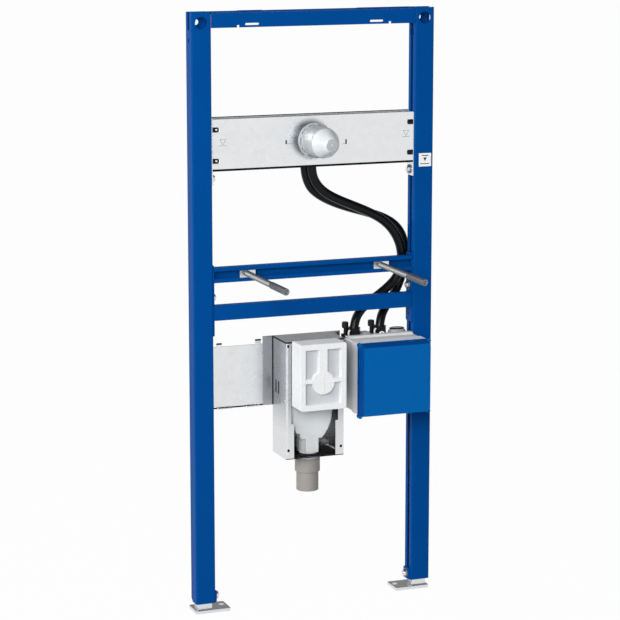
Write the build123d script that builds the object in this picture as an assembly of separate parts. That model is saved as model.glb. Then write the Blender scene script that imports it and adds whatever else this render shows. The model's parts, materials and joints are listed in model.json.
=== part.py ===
from build123d import *
import math
import os

# Basin installation frame, in millimetres: two posts on telescopic legs, with rails, plates, a concealed trap
# and a function box between them. X runs across, Y runs back to the wall and Z runs up from the floor.
# Sizes are measured from the front faces of the posts (Y = 0); the export moves the origin to the floor,
# halfway between the two floor bolt holes.

# Posts
frame_width = 500.0
frame_height = 1180.0
post_width = 40.0
post_depth = 34.0
post_wall = 2.0
post_bend = 3.0
post_slot = 11.0
post_bottom = 20.0
post_toe_depth = 10.0
post_toe_rise = 8.0
anchor_access = 24.0
anchor_hole = 11.0
anchor_drop = 20.0
side_slot_length = 34.0
side_slot_width = 12.0
side_hole = 8.5
side_hole_drop = 54.0
slot_eye = 19.0
slot_eye_drop = 49.0

# Legs, guide shoes and foot plates
leg_width = 30.0
leg_depth = 20.0
leg_wall = 2.0
leg_top = 326.0
shoe_height = 80.0
shoe_clearance = 0.3
foot_width = 72.0
foot_depth = 48.0
foot_thickness = 6.0
foot_front = 1.0
floor_hole = 13.0
floor_hole_edge = 9.5
floor_hole_back = 31.0
foot_corner = 3.0
clamp_plate_thickness = 4.0
clamp_plate_depth = 26.0
clamp_plate_height = 23.0
clamp_plate_fillet = 3.0
clamp_bolt_head = 16.0
clamp_bolt_head_height = 6.0
clamp_bolt_shank = 9.0

# Top rail
top_rail_height = 28.0
top_rail_drop = 2.0
top_rail_wall = 2.0
top_rail_depth = 30.0
top_rail_lip_rise = 2.0
top_rail_ear_rise = 2.6
top_rail_ear_start = 98.0
top_rail_left_ear_end = 148.0
top_rail_right_ear_gap = 1.0
top_rail_slot_length = 28.0
top_rail_slot_height = 4.0
top_rail_slot_centre = 128.0
top_rail_slot_rise = 6.0
top_rail_notch_width = 5.0
top_rail_notch_height = 4.5
top_rail_notch_centre = 156.0

# Brackets at the ends of the rails, and their bolts
bracket_thickness = 3.0
bracket_depth = 29.0
bracket_front = 1.5
bracket_fillet = 3.0
bolt_head = 14.0
bolt_head_height = 6.0
bolt_shank = 8.0
bolt_anchor_width = 20.0
bolt_anchor_height = 24.0
bolt_anchor_thickness = 4.0

# Fastening rail with its slide nuts and studs
rail_height = 30.0
rail_depth = 15.0
rail_wall = 2.0
rail_centre_z = 676.0
rail_bracket_bottom = 617.0
rail_bracket_over = 4.0
rail_bolt_z = 630.0
stud_diameter = 12.0
stud_spacing = 280.0
stud_reach = 215.0
stud_chamfer = 1.2
sleeve_diameter = 14.5
sleeve_length = 77.0
nut_length = 32.0
nut_thickness = 5.0
nut_boss_front = 1.5
nut_boss_height = 14.0
nut_clearance = 0.3

# Crossbar
bar_height = 30.0
bar_depth = 15.0
bar_wall = 2.0
bar_bottom = 587.0
bar_bracket_bottom = 556.0
bar_bracket_hole = 6.0
bar_bracket_hole_z = 571.5

# Tap plate, cap and holder
tap_plate_bottom = 877.0
tap_plate_height = 100.0
tap_plate_front = 2.0
tap_plate_wall = 1.5
tap_plate_gap = 2.0
tap_flange = 18.0
tap_lip = 3.0
tap_end_slot_length = 13.0
tap_end_slot_height = 9.5
tap_end_slot_spacing = 60.0
tap_bracket_below = 27.0
tap_bracket_tab = 24.0
tap_bolt_below = 15.0
cap_centre_z = 929.0
cap_diameter = 61.0
cap_straight = 50.0
cap_length = 94.0
cap_tip_diameter = 30.0
cap_wall = 2.0
cap_ring_diameter = 72.0
cap_ring_thickness = 5.0
cap_lug_width = 14.0
cap_lug_reach = 6.0
cap_fillet = 12.0
holder_width = 84.0
holder_height = 60.0
holder_depth = 44.0
holder_fillet = 8.0
nipple_diameter = 22.0
nipple_length = 12.0
hose_cutout = 70.0

# Trap plate
trap_plate_front = 30.0
trap_plate_wall = 2.0
trap_plate_bottom = 405.0
trap_plate_height = 124.0
trap_plate_end_depth = 24.0
trap_plate_tab_width = 12.0
trap_plate_tab_rise = 9.5
trap_plate_tab_gap = 24.0
trap_plate_ear_width = 11.0
trap_plate_ear_rise = 7.0
trap_plate_hem = 7.0
trap_plate_hem_length = 29.0
trap_plate_hem_gap = 27.0
trap_plate_ear_start = 16.0

# Trap box
box_gap = 21.0
box_width = 121.0
box_depth = 75.0
box_bottom = 309.5
box_height = 234.5
box_wall = 1.5
box_flange = 11.5
box_low_flange = 17.0
box_low_flange_height = 71.0
box_hole = 5.5
box_hole_inset = 5.5
box_hole_top_drop = 8.5
box_hole_bottom_rise = 18.0
box_slot_width = 6.5
box_slot_height = 26.0
box_slot_z = 446.0
box_slot_first = 19.0
box_slot_pitch = 15.0
box_side_flange = 21.0

# Trap cover
cover_width = 96.0
cover_height = 131.0
cover_bottom = 414.5
cover_reach = 46.5
cover_wall = 3.0
cover_neck_inset = 5.0
cover_rim = 11.5
cover_bar = 17.0
cover_disc = 46.0
cover_disc_drop = 11.5
cover_recess = 9.0
cover_lower_recess_height = 43.0
cover_recess_gap = 8.0
cover_fillet = 4.0

# Trap insert, seal and outlet pipe
insert_width = 88.0
insert_inset = 15.5
insert_depth = 54.0
insert_top = 528.0
insert_shoulder = 396.0
insert_neck_z = 342.0
insert_fillet = 4.0
insert_ledge_z = 356.0
insert_ledge_reach = 25.0
insert_spout_width = 27.0
insert_spout_rise = 1.0
outlet_back = 28.5
outlet_shift = 2.0
outlet_diameter = 43.5
seal_diameter = 52.0
seal_thickness = 4.0
seal_sheet = 2.0
seal_sheet_gap = 4.0
collar_diameter = 50.0
collar_top = 299.0
collar_height = 27.0
pipe_diameter = 44.0
pipe_wall = 2.0
pipe_bottom = 233.5

# Function box with its collar, cover and fittings
service_gap = 1.0
service_z = 464.0
service_width = 145.0
service_height = 141.0
service_reach = 76.0
service_wall = 3.0
service_fillet = 4.0
service_body_inset = 2.0
service_rim_rise = 2.5
service_rim_depth = 12.0
lid_width = 151.0
lid_height = 147.5
lid_front_width = 141.0
lid_front_height = 136.5
lid_drop = 1.25
lid_depth = 19.0
lid_wall = 2.5
lid_fillet = 7.0
lid_skirt = 4.0
lid_lug = 9.0
lid_lug_inset = 3.0
lid_lug_length = 9.0
lid_tab_length = 13.0
lid_tab_width = 4.0
lid_tab_offset = 36.0
fitting_y = 15.0
fitting_width = 26.0
fitting_height = 18.5
fitting_insets = (23.5, 79.0)
knob_offset = 17.6
knob_diameter = 12.6
knob_height = 12.4
clip_over = 0.3
clip_width = 5.0
clip_depth = 8.0
plug_inset = 28.0
plug_width = 38.0
plug_depth = 26.0
plug_height = 12.0
plug_fillet = 3.0

# Hoses
hose_diameter = 18.0
hose_push = 12.5
hose_arc_share = 0.45

parts = {}


def block(x0, x1, y0, y1, z0, z1):
    """A box between two values on each axis."""
    size = (abs(x1 - x0), abs(y1 - y0), abs(z1 - z0))
    return Pos((x0 + x1) / 2, (y0 + y1) / 2, (z0 + z1) / 2) * Box(*size)


def rod(start, axis, diameter, length):
    """A round bar from a start point along X, Y or Z."""
    plane = Plane(origin=start, z_dir=axis)
    return extrude(plane * Circle(diameter / 2), length)


def rounded_sheet(plane, width, height, fillet, thickness):
    """A flat plate with rounded corners, centred on a plane."""
    return extrude(plane * RectangleRounded(width, height, fillet), thickness)


def mirrored(shape):
    return mirror(shape, about=Plane.YZ)


def add_pair(name, right_shape):
    """The right-hand piece as given, and its mirror image on the left."""
    parts["right_" + name] = right_shape
    parts["left_" + name] = mirrored(right_shape)


# Places that several pieces share
half_width = frame_width / 2
post_inner = half_width - post_width
post_centre = half_width - post_width / 2
slot_centre = post_depth / 2
bracket_inner = post_inner - bracket_thickness


def post():
    """One folded post, open along its inner side between two lips."""
    height = frame_height - post_bottom
    base = Plane((post_centre, slot_centre, post_bottom))
    shell = rounded_sheet(base, post_width, post_depth, post_bend, height)
    inner = (post_width - 2 * post_wall, post_depth - 2 * post_wall)
    shell -= rounded_sheet(base, *inner, post_bend - post_wall, height)
    slot = (slot_centre - post_slot / 2, slot_centre + post_slot / 2)
    shell -= block(post_inner - 1, post_inner + post_wall + 1, *slot, 0, frame_height + 1)
    anchor_z = frame_height - anchor_drop
    back_wall = post_depth - post_wall
    shell -= rod((post_centre, -1, anchor_z), (0, 1, 0), anchor_access, post_wall + 2)
    shell -= rod((post_centre, back_wall - 1, anchor_z), (0, 1, 0), anchor_hole, post_wall + 2)
    shell -= rod(
        (post_inner - 1, slot_centre, frame_height - slot_eye_drop), (1, 0, 0), slot_eye, post_wall + 2
    )
    outer = half_width - post_wall - 1
    side_slot = (slot_centre - side_slot_width / 2, slot_centre + side_slot_width / 2)
    shell -= block(outer, half_width + 1, *side_slot, frame_height - side_slot_length, frame_height + 1)
    shell -= rod(
        (outer, slot_centre, frame_height - side_hole_drop), (1, 0, 0), side_hole, post_wall + 2
    )
    toe_corners = [
        (post_depth, post_bottom),
        (post_depth, post_bottom + post_toe_rise),
        (post_depth - post_toe_depth, post_bottom),
    ]
    toe = make_face(Polyline(*toe_corners, close=True))
    return shell - extrude(Plane.YZ.offset(post_inner) * toe, post_width)


def leg():
    """Square tube that slides inside a post."""
    x0, x1 = post_centre - leg_width / 2, post_centre + leg_width / 2
    y0, y1 = slot_centre - leg_depth / 2, slot_centre + leg_depth / 2
    tube = block(x0, x1, y0, y1, foot_thickness, leg_top)
    tube -= block(x0 + leg_wall, x1 - leg_wall, y0 + leg_wall, y1 - leg_wall, foot_thickness, leg_top)
    return tube


def leg_shoe():
    """Guide round the top of a leg, a running fit inside the post."""
    gap = post_wall + shoe_clearance
    shoe = block(
        post_inner + gap, half_width - gap, gap, post_depth - gap, leg_top - shoe_height, leg_top
    )
    shoe -= block(
        post_centre - leg_width / 2,
        post_centre + leg_width / 2,
        slot_centre - leg_depth / 2,
        slot_centre + leg_depth / 2,
        0,
        leg_top + 1,
    )
    return shoe


def foot_plate():
    """Floor plate, with its bolt hole beside the leg."""
    plane = Plane((half_width - foot_width / 2, foot_front + foot_depth / 2, 0))
    plate = rounded_sheet(plane, foot_width, foot_depth, foot_corner, foot_thickness)
    hole_x = half_width - foot_width + floor_hole_edge
    return plate - rod((hole_x, floor_hole_back, -1), (0, 0, 1), floor_hole, foot_thickness + 2)


clamp_z = post_bottom + clamp_plate_height / 2


def leg_clamp_plate():
    """Plate on the post's slot that carries the leg's clamp bolt."""
    plane = Plane((post_inner, slot_centre, clamp_z), x_dir=(0, 1, 0), z_dir=(-1, 0, 0))
    plate = rounded_sheet(
        plane, clamp_plate_depth, clamp_plate_height, clamp_plate_fillet, clamp_plate_thickness
    )
    hole_start = (post_inner + 1, slot_centre, clamp_z)
    return plate - rod(hole_start, (-1, 0, 0), clamp_bolt_shank, clamp_plate_thickness + 2)


def leg_clamp_bolt():
    """Bolt whose tip bears on the leg."""
    head_face = post_inner - clamp_plate_thickness
    head_plane = Plane((head_face, slot_centre, clamp_z), z_dir=(-1, 0, 0))
    head = extrude(head_plane * RegularPolygon(clamp_bolt_head / 2, 6), clamp_bolt_head_height)
    tip = post_centre - leg_width / 2 - shoe_clearance
    return head + rod((head_face, slot_centre, clamp_z), (1, 0, 0), clamp_bolt_shank, tip - head_face)


def top_rail():
    """Angle between the post tops, with a low lip and ears along the back of its top."""
    top = frame_height - top_rail_drop
    bottom = top - top_rail_height
    rail = block(-post_inner, post_inner, 0, top_rail_wall, bottom, top)
    under = top - top_rail_wall
    rail += block(-post_inner, post_inner, 0, top_rail_depth, under, top)
    lip = (top_rail_depth - top_rail_wall, top_rail_depth)
    rail += block(-post_inner, post_inner, *lip, under, top + top_rail_lip_rise)
    for side, ear_end in ((-1, top_rail_left_ear_end), (1, post_inner - top_rail_right_ear_gap)):
        ear = (side * top_rail_ear_start, side * ear_end)
        rail += block(*ear, *lip, under, top + top_rail_ear_rise)
        slot_plane = Plane(
            (side * top_rail_slot_centre, -1, bottom + top_rail_slot_rise), x_dir=(1, 0, 0), z_dir=(0, 1, 0)
        )
        slot = SlotOverall(top_rail_slot_length, top_rail_slot_height)
        rail -= extrude(slot_plane * slot, top_rail_wall + 2)
        notch = side * top_rail_notch_centre
        rail -= block(
            notch - top_rail_notch_width / 2,
            notch + top_rail_notch_width / 2,
            -1,
            top_rail_wall + 1,
            bottom - 1,
            bottom + top_rail_notch_height,
        )
    return rail


def end_bracket(bottom, top):
    """Plate on the inner side of the right post, across its slot."""
    plane = Plane(
        (post_inner, bracket_front + bracket_depth / 2, (bottom + top) / 2), x_dir=(0, 1, 0), z_dir=(-1, 0, 0)
    )
    return rounded_sheet(plane, bracket_depth, top - bottom, bracket_fillet, bracket_thickness)


def bracket_bolt_hole(z):
    return rod((post_inner + 1, slot_centre, z), (-1, 0, 0), bolt_shank, bracket_thickness + 2)


def bracket_bolt(z):
    """Bolt through an end bracket, with its anchor plate inside the post."""
    head_plane = Plane((bracket_inner, slot_centre, z), z_dir=(-1, 0, 0))
    bolt = extrude(head_plane * RegularPolygon(bolt_head / 2, 6), bolt_head_height)
    anchor_face = post_inner + post_wall
    bolt += rod((bracket_inner, slot_centre, z), (1, 0, 0), bolt_shank, anchor_face - bracket_inner)
    bolt += block(
        anchor_face,
        anchor_face + bolt_anchor_thickness,
        slot_centre - bolt_anchor_width / 2,
        slot_centre + bolt_anchor_width / 2,
        z - bolt_anchor_height / 2,
        z + bolt_anchor_height / 2,
    )
    return bolt


rail_slot = nut_boss_height + 2 * nut_clearance
rail_bottom = rail_centre_z - rail_height / 2
rail_top = rail_centre_z + rail_height / 2


def channel(bottom, top, depth, wall):
    """Closed section between the end brackets."""
    bar = block(-bracket_inner, bracket_inner, 0, depth, bottom, top)
    return bar - block(-bracket_inner, bracket_inner, wall, depth - wall, bottom + wall, top - wall)


def fastening_rail():
    """Rail with a slot along its front for the slide nuts."""
    rail = channel(rail_bottom, rail_top, rail_depth, rail_wall)
    slot_z = (rail_centre_z - rail_slot / 2, rail_centre_z + rail_slot / 2)
    return rail - block(-bracket_inner - 1, bracket_inner + 1, -1, rail_wall + 1, *slot_z)


def slide_nut():
    """Nut plate behind the rail's lips, with a boss in the slot."""
    x0, x1 = stud_spacing / 2 - nut_length / 2, stud_spacing / 2 + nut_length / 2
    plate_half = rail_height / 2 - rail_wall - nut_clearance
    back = rail_wall + nut_clearance
    nut = block(x0, x1, back, back + nut_thickness, rail_centre_z - plate_half, rail_centre_z + plate_half)
    boss_z = (rail_centre_z - nut_boss_height / 2, rail_centre_z + nut_boss_height / 2)
    nut += block(x0, x1, -nut_boss_front, back, *boss_z)
    hole_start = (stud_spacing / 2, -nut_boss_front - 1, rail_centre_z)
    return nut - rod(hole_start, (0, 1, 0), stud_diameter, rail_depth)


def stud():
    """Threaded rod that carries the basin, screwed into the slide nut, with a sleeve over its free end."""
    back = rail_wall + nut_clearance + nut_thickness
    tip = (stud_spacing / 2, -stud_reach, rail_centre_z)
    sleeve = rod(tip, (0, 1, 0), sleeve_diameter, sleeve_length)
    sleeve = chamfer(sleeve.edges().sort_by(Axis.Y)[0], stud_chamfer)
    return sleeve + rod(tip, (0, 1, 0), stud_diameter, stud_reach + back)


tap_plate_top = tap_plate_bottom + tap_plate_height
tap_plate_end = post_inner - tap_plate_gap
tap_plate_back = tap_plate_front + tap_plate_wall


def tap_plate():
    """Folded sheet with flanges along its top and bottom, and open slots in its ends."""
    end = tap_plate_end
    plate = block(-end, end, tap_plate_front, tap_plate_back, tap_plate_bottom, tap_plate_top)
    flange_end = bracket_inner - bracket_thickness
    flange_back = tap_plate_front + tap_flange
    for z in (tap_plate_bottom, tap_plate_top - tap_plate_wall):
        plate += block(-flange_end, flange_end, tap_plate_front, flange_back, z, z + tap_plate_wall)
    hose_gap = (tap_plate_bottom - 1, tap_plate_bottom + tap_plate_wall)
    plate -= block(-hose_cutout / 2, hose_cutout / 2, tap_plate_back, flange_back + 1, *hose_gap)
    lip_front = flange_back - tap_plate_wall
    plate += block(-flange_end, flange_end, lip_front, flange_back, tap_plate_top, tap_plate_top + tap_lip)
    middle = (tap_plate_bottom + tap_plate_top) / 2
    for side in (-1, 1):
        for step in (-1, 1):
            z = middle + step * tap_end_slot_spacing / 2
            plate -= block(
                side * (end - tap_end_slot_length),
                side * (end + 1),
                tap_plate_front - 1,
                tap_plate_back + 1,
                z - tap_end_slot_height / 2,
                z + tap_end_slot_height / 2,
            )
    return plate


def tap_bracket():
    """End bracket with a tab that backs the tap plate."""
    bottom = tap_plate_bottom - tap_bracket_below
    top = tap_plate_top - tap_plate_wall
    bracket = block(bracket_inner, post_inner, tap_plate_back, bracket_front + bracket_depth, bottom, top)
    bracket += block(
        post_inner - tap_bracket_tab,
        post_inner,
        tap_plate_back,
        tap_plate_back + bracket_thickness,
        tap_plate_bottom + tap_plate_wall,
        top,
    )
    return bracket - bracket_bolt_hole(tap_plate_bottom - tap_bolt_below)


def cap_ring():
    """Base ring of the cap, with a lug at its foot, on the tap plate."""
    plane = Plane((0, tap_plate_front, cap_centre_z), x_dir=(1, 0, 0), z_dir=(0, -1, 0))
    ring = extrude(plane * Circle(cap_ring_diameter / 2), cap_ring_thickness)
    lug_bottom = cap_centre_z - cap_ring_diameter / 2 - cap_lug_reach
    ring += block(
        -cap_lug_width / 2,
        cap_lug_width / 2,
        tap_plate_front - cap_ring_thickness,
        tap_plate_front,
        lug_bottom,
        cap_centre_z,
    )
    return ring - extrude(plane * Circle(cap_diameter / 2), cap_ring_thickness)


def tap_cap():
    """Hollow cap that tapers to a rounded tip."""
    base = Plane((0, tap_plate_front, cap_centre_z), x_dir=(1, 0, 0), z_dir=(0, -1, 0))
    taper = cap_length - cap_straight
    body = extrude(base * Circle(cap_diameter / 2), cap_straight)
    shoulder = base.offset(cap_straight)
    body += loft([shoulder * Circle(cap_diameter / 2), shoulder.offset(taper) * Circle(cap_tip_diameter / 2)])
    body = fillet(body.edges().sort_by(Axis.Y)[0], cap_fillet)
    inner = cap_diameter / 2 - cap_wall
    hollow = extrude(base * Circle(inner), cap_straight)
    tip = shoulder.offset(taper - 2 * cap_wall)
    hollow += loft([shoulder * Circle(inner), tip * Circle(cap_tip_diameter / 2 - cap_wall)])
    return body - hollow


def tap_holder():
    """Moulded holder behind the tap plate, with two hose nipples under it."""
    plane = Plane((0, tap_plate_back, cap_centre_z), x_dir=(1, 0, 0), z_dir=(0, 1, 0))
    holder = rounded_sheet(plane, holder_width, holder_height, holder_fillet, holder_depth)
    for x, y in hose_tops:
        holder += rod((x, y, holder_bottom), (0, 0, -1), nipple_diameter, nipple_length)
    return holder


holder_bottom = cap_centre_z - holder_height / 2
hose_top = holder_bottom - nipple_length
hose_tops = ((-1.0, 16.0), (-8.0, 35.0))

trap_plate_top = trap_plate_bottom + trap_plate_height
trap_plate_back = trap_plate_front + trap_plate_wall
service_right = post_inner - service_gap
service_left = service_right - service_width
service_x = (service_left + service_right) / 2
box_right = service_left - box_gap
box_left = box_right - box_width
trap_x = (box_left + box_right) / 2
box_top = box_bottom + box_height
box_front = trap_plate_front - box_depth
outlet_x = trap_x + outlet_shift
outlet_y = trap_plate_front - outlet_back


def trap_plate():
    """Folded sheet at the back of the posts that carries the trap box and the function box."""
    end = post_inner
    plate = block(-end, end, trap_plate_front, trap_plate_back, trap_plate_bottom, trap_plate_top)
    end_front = trap_plate_back - trap_plate_end_depth
    for side in (-1, 1):
        x0, x1 = side * (end - trap_plate_wall), side * end
        plate += block(x0, x1, end_front, trap_plate_back, trap_plate_bottom, trap_plate_top)
    tab_right = box_left - trap_plate_tab_gap
    tabs = [(tab_right - trap_plate_tab_width, trap_plate_tab_width, trap_plate_tab_rise)]
    ear_left = -post_inner + trap_plate_ear_start
    tabs.append((ear_left, trap_plate_ear_width, trap_plate_ear_rise))
    for x, width, rise in tabs:
        plate += block(x, x + width, trap_plate_front, trap_plate_back, trap_plate_top, trap_plate_top + rise)
    for x in (ear_left, box_left - trap_plate_hem_gap - trap_plate_hem_length):
        plate += block(
            x,
            x + trap_plate_hem_length,
            trap_plate_front - trap_plate_hem,
            trap_plate_front,
            trap_plate_bottom,
            trap_plate_bottom + trap_plate_wall,
        )
    return plate


def trap_box():
    """Sheet box, open in front between two flanges, with flanges beside it on the trap plate."""
    wall = box_wall
    shell = block(box_left, box_right, box_front, trap_plate_front, box_bottom, box_top)
    shell -= block(
        box_left + wall,
        box_right - wall,
        box_front - 1,
        trap_plate_front - wall,
        box_bottom + wall,
        box_top - wall,
    )
    for side in (-1, 1):
        edge = trap_x + side * box_width / 2
        inner = edge - side * box_flange
        low_inner = edge - side * box_low_flange
        shell += block(inner, edge, box_front, box_front + wall, box_bottom, box_top)
        low_top = box_bottom + box_low_flange_height
        shell += block(low_inner, edge, box_front, box_front + wall, box_bottom, low_top)
        back = (trap_plate_front - wall, trap_plate_front)
        shell += block(edge, edge + side * box_side_flange, *back, trap_plate_bottom, box_top)
        hole_x = edge - side * box_hole_inset
        for hole_z in (box_bottom + box_hole_bottom_rise, box_top - box_hole_top_drop):
            shell -= rod((hole_x, box_front - 1, hole_z), (0, 1, 0), box_hole, wall + 2)
    for step in (0, 1):
        slot_y = trap_plate_front - box_slot_first - step * box_slot_pitch
        shell -= block(
            box_left - 1,
            box_right + 1,
            slot_y - box_slot_width / 2,
            slot_y + box_slot_width / 2,
            box_slot_z - box_slot_height / 2,
            box_slot_z + box_slot_height / 2,
        )
    return shell - rod((outlet_x, outlet_y, box_bottom - 1), (0, 0, 1), outlet_diameter, wall + 2)


insert_front = box_front + insert_inset


def trap_insert():
    """Water trap: a flat tank with a round bowl below, a ledge at its left, a spout and a bored outlet."""
    half, neck_half = insert_width / 2, outlet_diameter / 2
    bowl = TangentArc((half, insert_shoulder), (neck_half, insert_neck_z), tangent=(0, -1))
    top_corners = ((half, insert_top), (-half, insert_top))
    sides = Polyline((half, insert_shoulder), *top_corners, (-half, insert_shoulder))
    floor = Line((-neck_half, insert_neck_z), (neck_half, insert_neck_z))
    outline = make_face([bowl, sides, mirror(bowl, about=Plane.YZ), floor])
    back_plane = Plane((trap_x, insert_front + insert_depth, 0), x_dir=(1, 0, 0), z_dir=(0, -1, 0))
    tank = extrude(back_plane * outline, insert_depth)
    rims = tank.faces().sort_by(Axis.Y)[0].edges() + tank.faces().sort_by(Axis.Y)[-1].edges()
    tank = fillet(rims, insert_fillet)
    tank -= block(
        trap_x - half - 1,
        trap_x - insert_ledge_reach,
        insert_front - 1,
        insert_front + insert_depth + 1,
        insert_neck_z - 1,
        insert_ledge_z,
    )
    seat = collar_top - collar_height + pipe_wall
    tank += rod((outlet_x, outlet_y, seat), (0, 0, 1), outlet_diameter, insert_neck_z + insert_fillet - seat)
    spout_bottom = box_bottom + box_wall + seal_thickness + insert_spout_rise
    tank += block(
        trap_x - insert_spout_width / 2,
        trap_x + insert_spout_width / 2,
        insert_front,
        outlet_y,
        spout_bottom,
        insert_neck_z + insert_fillet,
    )
    bore = outlet_diameter - 2 * pipe_wall
    return tank - rod((outlet_x, outlet_y, seat), (0, 0, 1), bore, insert_neck_z - seat)


def outlet_seal():
    """Rubber sheet on the floor of the trap box, with a thicker ring round the outlet."""
    floor = box_bottom + box_wall
    inset = box_wall + seal_sheet_gap
    start = (outlet_x, outlet_y, floor)
    ring = rod(start, (0, 0, 1), seal_diameter, seal_thickness)
    ring += block(
        box_left + inset,
        box_right - inset,
        box_front + inset,
        trap_plate_front - inset,
        floor,
        floor + seal_sheet,
    )
    return ring - rod(start, (0, 0, 1), outlet_diameter, seal_thickness)


def outlet_pipe():
    """Waste pipe, with a collar over the end of the trap's outlet."""
    collar_bottom = collar_top - collar_height
    seat = collar_bottom + pipe_wall
    pipe = rod((outlet_x, outlet_y, collar_bottom), (0, 0, 1), collar_diameter, collar_height)
    pipe += rod((outlet_x, outlet_y, pipe_bottom), (0, 0, 1), pipe_diameter, collar_bottom - pipe_bottom)
    pipe -= rod((outlet_x, outlet_y, seat), (0, 0, 1), outlet_diameter, collar_height)
    bore = pipe_diameter - 2 * pipe_wall
    return pipe - rod((outlet_x, outlet_y, pipe_bottom), (0, 0, 1), bore, seat - pipe_bottom)


def trap_cover():
    """Moulded cover with three recesses round a disc, and a neck that seats on the insert."""
    front = box_front - cover_reach
    left, right = trap_x - cover_width / 2, trap_x + cover_width / 2
    bottom, top = cover_bottom, cover_bottom + cover_height
    shell = block(left, right, front, box_front, bottom, top)
    shell = fillet(shell.edges().filter_by(Axis.Y), cover_fillet)
    neck = cover_neck_inset
    shell += block(left + neck, right - neck, box_front, insert_front, bottom + neck, top - neck)
    web = front + cover_recess
    hollow = neck + cover_wall
    shell -= block(
        left + hollow, right - hollow, web + cover_wall, insert_front + 1, bottom + hollow, top - hollow
    )
    low_top = bottom + cover_rim + cover_lower_recess_height
    high_bottom = low_top + cover_recess_gap
    recesses = block(left + cover_rim, right - cover_rim, front - 1, web, bottom + cover_rim, low_top)
    recesses += block(left + cover_rim, trap_x - cover_bar / 2, front - 1, web, high_bottom, top - cover_rim)
    recesses += block(trap_x + cover_bar / 2, right - cover_rim, front - 1, web, high_bottom, top - cover_rim)
    disc_z = (bottom + top) / 2 - cover_disc_drop
    recesses -= rod((trap_x, front - 2, disc_z), (0, 1, 0), cover_disc, cover_recess + 2)
    return shell - recesses


service_top = service_z + service_height / 2
body_top = service_top - service_body_inset
fitting_positions = [service_left + inset for inset in fitting_insets]
plug_x = service_right - plug_inset
fitting_top = body_top + fitting_height
clip_top = fitting_top + clip_over


def service_plane(y, drop=0.0):
    """Plane across the function box, facing the front."""
    return Plane((service_x, y, service_z - drop), x_dir=(1, 0, 0), z_dir=(0, -1, 0))


def function_box_body():
    """Back of the function box, on the trap plate."""
    width = service_width - 2 * service_body_inset
    height = service_height - 2 * service_body_inset
    plane = service_plane(trap_plate_front)
    body = rounded_sheet(plane, width, height, service_fillet, trap_plate_front)
    cavity = rounded_sheet(
        plane.offset(service_wall),
        width - 2 * service_wall,
        height - 2 * service_wall,
        service_fillet,
        trap_plate_front,
    )
    return body - cavity


def function_box_collar():
    """Front frame of the function box, with a raised rim along the back of its top."""
    collar = rounded_sheet(service_plane(0), service_width, service_height, service_fillet, service_reach)
    collar += block(
        service_left + service_fillet,
        service_right - service_fillet,
        -service_rim_depth,
        0,
        service_top - service_wall,
        service_top + service_rim_rise,
    )
    inner_width = service_width - 2 * (service_body_inset + service_wall)
    inner_height = service_height - 2 * (service_body_inset + service_wall)
    return collar - rounded_sheet(service_plane(0), inner_width, inner_height, service_fillet, service_reach)


def function_box_cover():
    """Bevelled protective lid, pushed over the front edge of the collar."""
    skirt = service_plane(-service_reach + lid_skirt, lid_drop)
    front = service_plane(-service_reach - lid_depth, lid_drop)
    lid = loft([
        skirt * RectangleRounded(lid_width, lid_height, lid_fillet),
        front * RectangleRounded(lid_front_width, lid_front_height, lid_fillet),
    ])
    lug_x, lug_z = lid_width / 2 - lid_lug_inset, lid_height / 2 - lid_lug_inset
    for corner in ((-lug_x, -lug_z), (-lug_x, lug_z), (lug_x, -lug_z), (lug_x, lug_z)):
        lid += extrude(skirt * Pos(*corner) * Circle(lid_lug / 2), lid_lug_length)
    tab = service_plane(-service_reach, lid_drop)
    lid += extrude(tab * Pos(lid_tab_offset, 0) * Rectangle(lid_tab_length, lid_height), lid_tab_width)
    lid += extrude(tab * Pos(0, lid_tab_offset) * Rectangle(lid_width, lid_tab_length), lid_tab_width)
    seat = service_plane(-service_reach + lid_skirt)
    lid -= rounded_sheet(seat, service_width, service_height, service_fillet, lid_skirt)
    rim = service_body_inset + service_wall
    return lid - rounded_sheet(
        service_plane(-service_reach),
        service_width - 2 * rim,
        service_height - 2 * rim,
        service_fillet,
        lid_depth - lid_wall,
    )


def hose_fitting(x):
    """Six-sided socket on the function box that a hose plugs into."""
    foot = Plane((x, fitting_y, body_top))
    socket = extrude(foot * RegularPolygon(fitting_width / 2, 6, major_radius=False), fitting_height)
    return socket - rod((x, fitting_y, fitting_top), (0, 0, -1), hose_diameter, hose_push)


def valve_clip(x):
    """Clip beside a hose fitting."""
    return block(
        x - knob_offset - clip_width / 2,
        x - knob_offset + clip_width / 2,
        fitting_y - clip_depth / 2,
        fitting_y + clip_depth / 2,
        body_top,
        clip_top,
    )


def valve_knob(x):
    """Turning knob on a clip."""
    return rod((x - knob_offset, fitting_y, clip_top), (0, 0, 1), knob_diameter, knob_height)


def box_plug():
    """Oblong plug in the top of the function box."""
    plug = extrude(Plane((plug_x, fitting_y, body_top)) * SlotOverall(plug_width, plug_depth), plug_height)
    return fillet(plug.edges().sort_by(Axis.Z)[-1], plug_fillet)


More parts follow.
